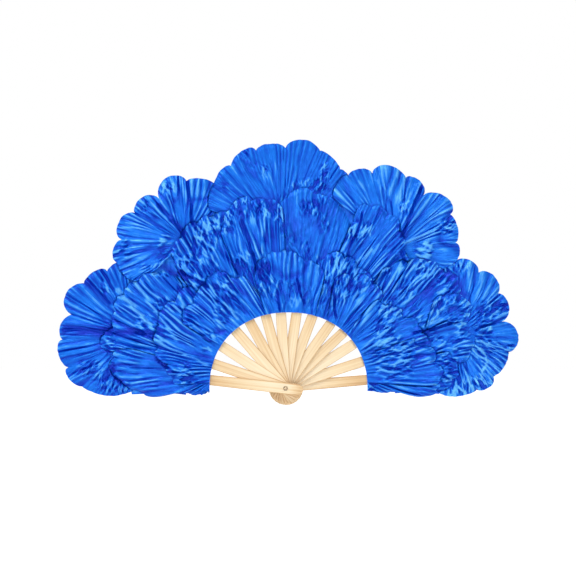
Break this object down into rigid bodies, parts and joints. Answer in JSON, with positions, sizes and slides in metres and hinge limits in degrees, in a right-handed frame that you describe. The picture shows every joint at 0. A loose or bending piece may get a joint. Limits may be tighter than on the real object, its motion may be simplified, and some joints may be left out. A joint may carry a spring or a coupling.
{
  "type": "folding hand fan",
  "caption": "Folding hand fan held open: bamboo sticks turn on one rivet and carry a scalloped leaf of layered crinkled satin petals.",
  "frame": {"origin": "on the rivet's axis, half way through the stack of sticks, where the hand holds the fan", "axes": "+Z is the middle direction of the open fan, +X its right side seen from the front, and the front faces -Y; the rivet lies along Y"},
  "size_m": [0.4587, 0.0327, 0.2651],
  "materials": {
    "bamboo": "pale planed bamboo, matt",
    "petal_satin": "crinkled blue satin with a soft sheen",
    "rivet_steel": "small plain rivet"
  },
  "bodies": {
    "rear_guard": {"rear_guard": "bamboo", "back_petals_00": "petal_satin", "middle_petals_00": "petal_satin", "front_petals_00": "petal_satin", "rivet": "rivet_steel", "rear_washer": "rivet_steel"},
    "stick_01": {"stick_01": "bamboo", "back_petals_01": "petal_satin", "middle_petals_01": "petal_satin", "front_petals_01": "petal_satin"},
    "stick_02": {"stick_02": "bamboo", "back_petals_02": "petal_satin", "middle_petals_02": "petal_satin", "front_petals_02": "petal_satin"},
    "stick_03": {"stick_03": "bamboo", "back_petals_03": "petal_satin", "middle_petals_03": "petal_satin", "front_petals_03": "petal_satin"},
    "stick_04": {"stick_04": "bamboo", "back_petals_04": "petal_satin", "middle_petals_04": "petal_satin", "front_petals_04": "petal_satin"},
    "stick_05": {"stick_05": "bamboo", "back_petals_05": "petal_satin", "middle_petals_05": "petal_satin", "front_petals_05": "petal_satin"},
    "stick_06": {"stick_06": "bamboo", "back_petals_06": "petal_satin", "middle_petals_06": "petal_satin", "front_petals_06": "petal_satin"},
    "stick_07": {"stick_07": "bamboo", "back_petals_07": "petal_satin", "middle_petals_07": "petal_satin", "front_petals_07": "petal_satin"},
    "stick_08": {"stick_08": "bamboo", "back_petals_08": "petal_satin", "middle_petals_08": "petal_satin", "front_petals_08": "petal_satin"},
    "stick_09": {"stick_09": "bamboo", "back_petals_09": "petal_satin", "middle_petals_09": "petal_satin", "front_petals_09": "petal_satin"},
    "stick_10": {"stick_10": "bamboo", "back_petals_10": "petal_satin", "middle_petals_10": "petal_satin", "front_petals_10": "petal_satin"},
    "stick_11": {"stick_11": "bamboo", "back_petals_11": "petal_satin", "middle_petals_11": "petal_satin", "front_petals_11": "petal_satin"},
    "stick_12": {"stick_12": "bamboo", "back_petals_12": "petal_satin", "middle_petals_12": "petal_satin", "front_petals_12": "petal_satin"},
    "front_guard": {"front_guard": "bamboo", "back_petals_13": "petal_satin", "middle_petals_13": "petal_satin", "front_petals_13": "petal_satin"}
  },
  "joints": [
    {"name": "fold_01", "type": "hinge", "parent": "rear_guard", "child": "stick_01", "pos_m": [0, 0, 0], "axis": [0, 1, 0], "range_deg": [0, 13.4]},
    {"name": "fold_02", "type": "hinge", "parent": "stick_01", "child": "stick_02", "pos_m": [0, 0, 0], "axis": [0, 1, 0], "range_deg": [0, 14]},
    {"name": "fold_03", "type": "hinge", "parent": "stick_02", "child": "stick_03", "pos_m": [0, 0, 0], "axis": [0, 1, 0], "range_deg": [0, 11.2]},
    {"name": "fold_04", "type": "hinge", "parent": "stick_03", "child": "stick_04", "pos_m": [0, 0, 0], "axis": [0, 1, 0], "range_deg": [0, 11.3]},
    {"name": "fold_05", "type": "hinge", "parent": "stick_04", "child": "stick_05", "pos_m": [0, 0, 0], "axis": [0, 1, 0], "range_deg": [0, 14.6]},
    {"name": "fold_06", "type": "hinge", "parent": "stick_05", "child": "stick_06", "pos_m": [0, 0, 0], "axis": [0, 1, 0], "range_deg": [0, 12.2]},
    {"name": "fold_07", "type": "hinge", "parent": "stick_06", "child": "stick_07", "pos_m": [0, 0, 0], "axis": [0, 1, 0], "range_deg": [0, 12]},
    {"name": "fold_08", "type": "hinge", "parent": "stick_07", "child": "stick_08", "pos_m": [0, 0, 0], "axis": [0, 1, 0], "range_deg": [0, 11.8]},
    {"name": "fold_09", "type": "hinge", "parent": "stick_08", "child": "stick_09", "pos_m": [0, 0, 0], "axis": [0, 1, 0], "range_deg": [0, 13.2]},
    {"name": "fold_10", "type": "hinge", "parent": "stick_09", "child": "stick_10", "pos_m": [0, 0, 0], "axis": [0, 1, 0], "range_deg": [0, 12.6]},
    {"name": "fold_11", "type": "hinge", "parent": "stick_10", "child": "stick_11", "pos_m": [0, 0, 0], "axis": [0, 1, 0], "range_deg": [0, 15.6]},
    {"name": "fold_12", "type": "hinge", "parent": "stick_11", "child": "stick_12", "pos_m": [0, 0, 0], "axis": [0, 1, 0], "range_deg": [0, 14.7]},
    {"name": "fold_13", "type": "hinge", "parent": "stick_12", "child": "front_guard", "pos_m": [0, 0, 0], "axis": [0, 1, 0], "range_deg": [0, 12.3]}
  ],
  "couplings": [
    {"joint": "fold_02", "follows": "fold_01", "ratio": 1.0448},
    {"joint": "fold_03", "follows": "fold_01", "ratio": 0.83582},
    {"joint": "fold_04", "follows": "fold_01", "ratio": 0.84328},
    {"joint": "fold_05", "follows": "fold_01", "ratio": 1.0896},
    {"joint": "fold_06", "follows": "fold_01", "ratio": 0.91044},
    {"joint": "fold_07", "follows": "fold_01", "ratio": 0.89552},
    {"joint": "fold_08", "follows": "fold_01", "ratio": 0.88059},
    {"joint": "fold_09", "follows": "fold_01", "ratio": 0.98507},
    {"joint": "fold_10", "follows": "fold_01", "ratio": 0.94029},
    {"joint": "fold_11", "follows": "fold_01", "ratio": 1.1642},
    {"joint": "fold_12", "follows": "fold_01", "ratio": 1.097},
    {"joint": "fold_13", "follows": "fold_01", "ratio": 0.91791}
  ]
}
